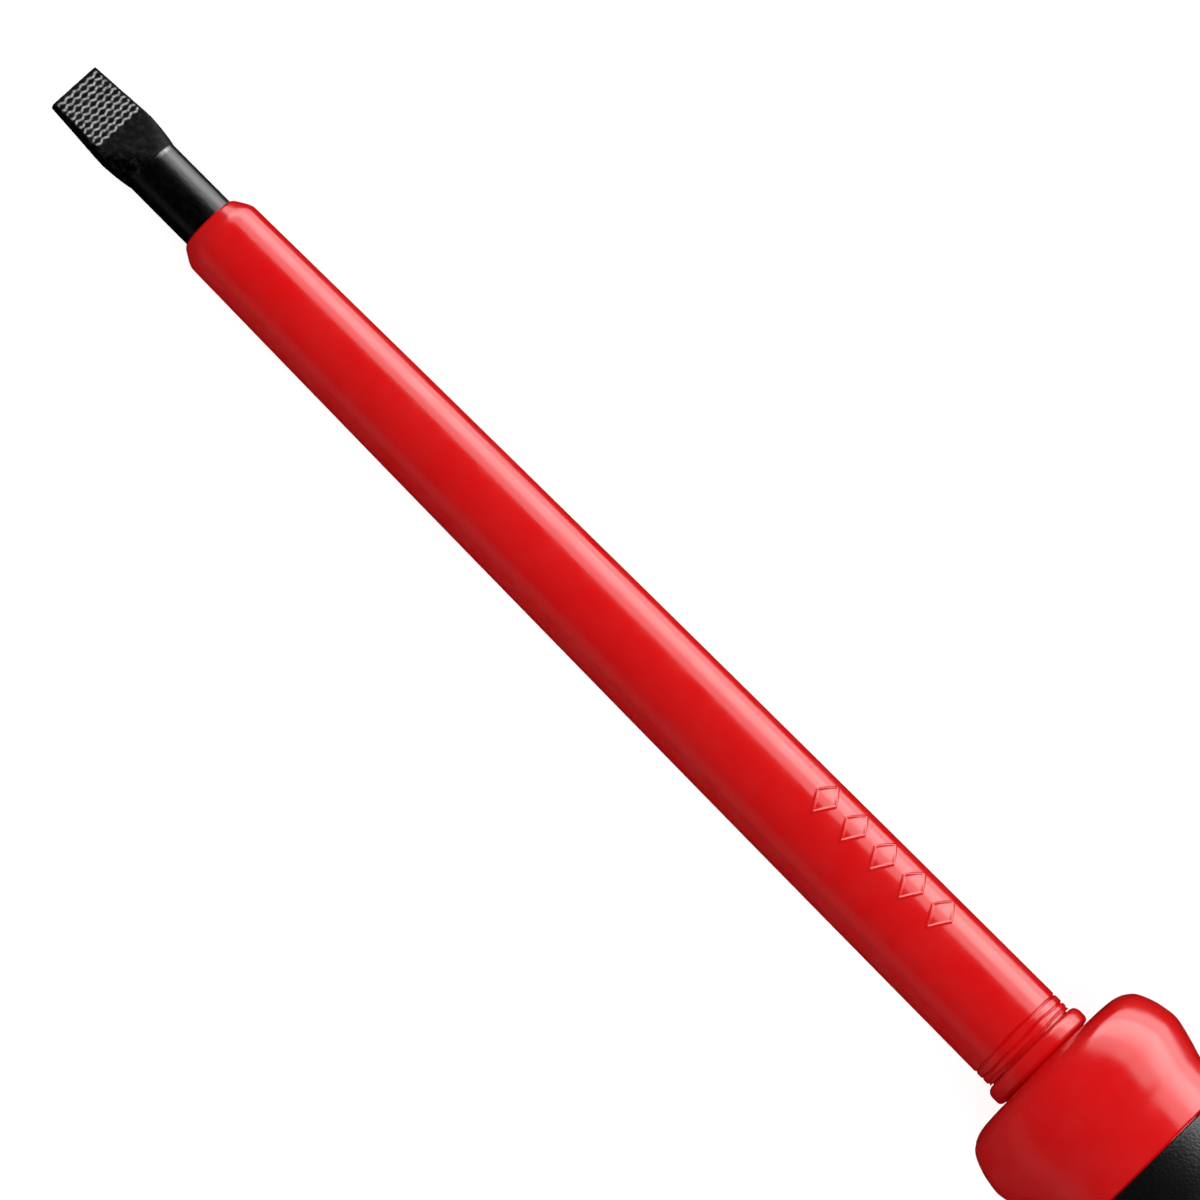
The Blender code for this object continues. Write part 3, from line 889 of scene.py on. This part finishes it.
def cut_out(target, cutter):
    """Takes the cutter's shape out of the target for good, and removes the cutter."""
    modifier = target.modifiers.new("cut", "BOOLEAN")
    modifier.operation = "DIFFERENCE"
    modifier.solver = "EXACT"
    modifier.object = cutter
    graph = bpy.context.evaluated_depsgraph_get()
    made = bpy.data.meshes.new_from_object(target.evaluated_get(graph))
    target.modifiers.clear()
    target.data = made
    bpy.data.objects.remove(cutter)
    finished(made, 40.0)


def hang_hole_bar(finish):
    """A bar across the cap with the hanging hole's shape, wider at both mouths."""
    reach = float(grip_radius(HANG_STATION, 0.0))
    outside = 0.004
    mouth = HANG_RADIUS + HANG_CHAMFER
    steps = np.array(
        (
            (-reach - outside, mouth + outside),
            (-reach, mouth),
            (0.4 * HANG_CHAMFER - reach, HANG_RADIUS + 0.45 * HANG_CHAMFER),
            (1.4 * HANG_CHAMFER - reach, HANG_RADIUS + 0.05 * HANG_CHAMFER),
            (2.2 * HANG_CHAMFER - reach, HANG_RADIUS),
        )
    )
    steps = np.concatenate((steps, steps[::-1] * (-1.0, 1.0)))
    turn = even_angles(96)[None, :]
    bar = np.stack(
        (
            HANG_STATION + steps[:, 1, None] * np.cos(turn),
            np.broadcast_to(steps[:, 0, None], (len(steps), 96)),
            steps[:, 1, None] * np.sin(turn),
        ),
        axis=-1,
    )
    return skin("hang_hole_bar", bar, finish)


def make_end_cap(finish):
    """The lobed cap with its spigot, the socket for the inlay and the hanging hole."""
    angles = even_angles(288)[None, :]
    edge = EDGE_BREAK
    stations = np.concatenate(
        (
            np.array((CAP_FRONT, CAP_FRONT + 0.3 * edge, CAP_FRONT + edge)),
            np.linspace(CAP_FRONT + 0.001, BUTT - BUTT_ROUND, 40),
            BUTT - BUTT_ROUND * (1 - np.sin(np.linspace(0.0, 0.5 * math.pi, 25)[1:])),
        )
    )
    drop = np.zeros(len(stations))
    drop[:2] = (edge + RIB_RECESS, 0.4 * edge + RIB_RECESS)
    drop[2:6] = RIB_RECESS * np.linspace(1.0, 0.0, 4)
    outside = grid_points(stations[:, None], angles, cap_radius(stations[:, None], angles) - drop[:, None])
    spigot = (
        (SPIGOT_FRONT, SPIGOT_RADIUS - edge),
        (SPIGOT_FRONT + edge, SPIGOT_RADIUS),
        (CAP_FRONT, SPIGOT_RADIUS),
    )
    socket = (
        (BUTT, DISC_RADIUS + FIT_GAP + 0.0001),
        (BUTT - 0.0001, DISC_RADIUS + FIT_GAP),
        (BUTT - DISC_DEPTH, DISC_RADIUS + FIT_GAP),
    )
    grid = np.concatenate((rings(spigot, angles), outside, rings(socket, angles)))
    cap = skin("red_end_cap", grid, finish)
    cut_out(cap, hang_hole_bar(finish))
    stand_for(cap, "handle_red", "end_cap")


def make_butt_disc(finish):
    """An inlay with a dished face and two fine turned rings."""
    radii = np.linspace(0.0002, DISC_RADIUS - 0.0003, 120)
    raised = sum(ridge(radii - ring, DISC_RING_HALF_WIDTH) for ring in DISC_RINGS)
    dish = 0.00012 * np.clip((DISC_DISH_RADIUS - radii) / 0.0012, 0.0, 1.0)
    face = list(zip(BUTT - 0.00010 * raised - dish, radii))
    edge = [(BUTT - 0.00008, DISC_RADIUS - 0.0001), (BUTT - 0.0003, DISC_RADIUS)]
    back = [(BUTT - DISC_DEPTH + FIT_GAP, DISC_RADIUS), (BUTT - DISC_DEPTH + FIT_GAP, 0.0002)]
    grid = rings(face + edge + back, even_angles(128)[None, :])
    disc = skin("dark_butt_disc", grid, finish, False, 40.0)
    stand_for(disc, "disc_dark", "butt_disc")


# ---- Stage ----


def soft_light(name, offset, size, power, lights_up):
    """An area light that faces the tool. It feeds either the reflections or the matt shading."""
    is_glossy = lights_up == "glossy"
    place = GUARD_CENTRE + Vector(offset)
    target = PLACE @ Vector((-0.05, 0.0, 0.0))
    target.x = place.x
    data = bpy.data.lights.new(name, "AREA")
    data.use_shadow = is_glossy
    data.cycles.use_multiple_importance_sampling = is_glossy
    data.shape = "RECTANGLE"
    data.size, data.size_y = size
    data.energy = power
    light = bpy.data.objects.new(name, data)
    bpy.context.scene.collection.objects.link(light)
    light.location = place
    light.rotation_euler = (target - place).to_track_quat("-Z", "Y").to_euler()
    light.visible_camera = False
    light.visible_glossy = is_glossy
    light.visible_diffuse = not is_glossy


def make_stage(finish):
    """A pale floor at the tool's lowest point, soft lights beside and above it, and a pale world."""
    mesh = bpy.data.meshes.new("floor")
    reach = FLOOR_REACH
    corners = ((-reach, -reach), (reach, -reach), (reach, reach), (-reach, reach))
    mesh.from_pydata([(x, y, cad_low.z - FLOOR_DROP) for x, y in corners], [], [(0, 1, 2, 3)])
    mesh.materials.append(finish)
    floor = bpy.data.objects.new("floor", mesh)
    bpy.context.scene.collection.objects.link(floor)
    floor.visible_glossy = False

    for light in LIGHTS:
        soft_light(*light)

    world = bpy.data.worlds.new("pale_world")
    world.use_nodes = True
    background = world.node_tree.nodes["Background"]
    background.inputs["Color"].default_value = (1.0, 1.0, 1.0, 1.0)
    background.inputs["Strength"].default_value = WORLD_STRENGTH
    world.cycles_visibility.glossy = False
    world.cycles.sampling_method = "NONE"
    bpy.context.scene.world = world


def make_camera():
    """Straight above the tool, turned so that the tool runs down to the right, with a long lens."""
    data = bpy.data.cameras.new("camera")
    data.sensor_width = CAMERA_SENSOR
    data.lens = CAMERA_LENS
    data.clip_start = 0.05
    data.clip_end = 50.0
    camera = bpy.data.objects.new("camera", data)
    bpy.context.scene.collection.objects.link(camera)
    camera.location = GUARD_CENTRE + CAMERA_OFFSET
    camera.rotation_euler = (0.0, 0.0, CAMERA_TURN)
    bpy.context.scene.camera = camera


def main():
    """Makes every piece, gives the kept CAD node its material, and sets the stage."""
    sleeve_red = red_plastic("red_insulation", (0.470, 0.0018, 0.0024), (0.520, 0.0024, 0.0032), 0.20)
    handle_red = red_plastic("red_handle_plastic", (0.470, 0.0020, 0.0026), (0.520, 0.0026, 0.0036), 0.21)
    rubber = soft_black()
    make_camera()
    forged = black_steel("forged_steel", (0.0002, 0.0002, 0.0002), (0.0090, 0.0090, 0.0095), 0.50, 0.06)
    drawn = black_steel("drawn_steel", (0.0004, 0.0004, 0.0005), (0.0022, 0.0022, 0.0025), 0.24, 0.45)
    make_blade(forged, drawn)
    make_sleeve(sleeve_red)
    make_neck_bead(sleeve_red)
    make_guard(handle_red)
    make_front_grip(rubber)
    make_core(handle_red)
    for number in range(1, LOBES + 1):
        make_pad(number, rubber)
    make_end_cap(handle_red)
    make_butt_disc(dark_disc())
    liner = frame["nodes"]["inner_insulation"]
    liner.data.materials.clear()
    liner.data.materials.append(light_liner())
    make_stage(pale_floor())
    bpy.context.scene.view_settings.view_transform = "Standard"


main()
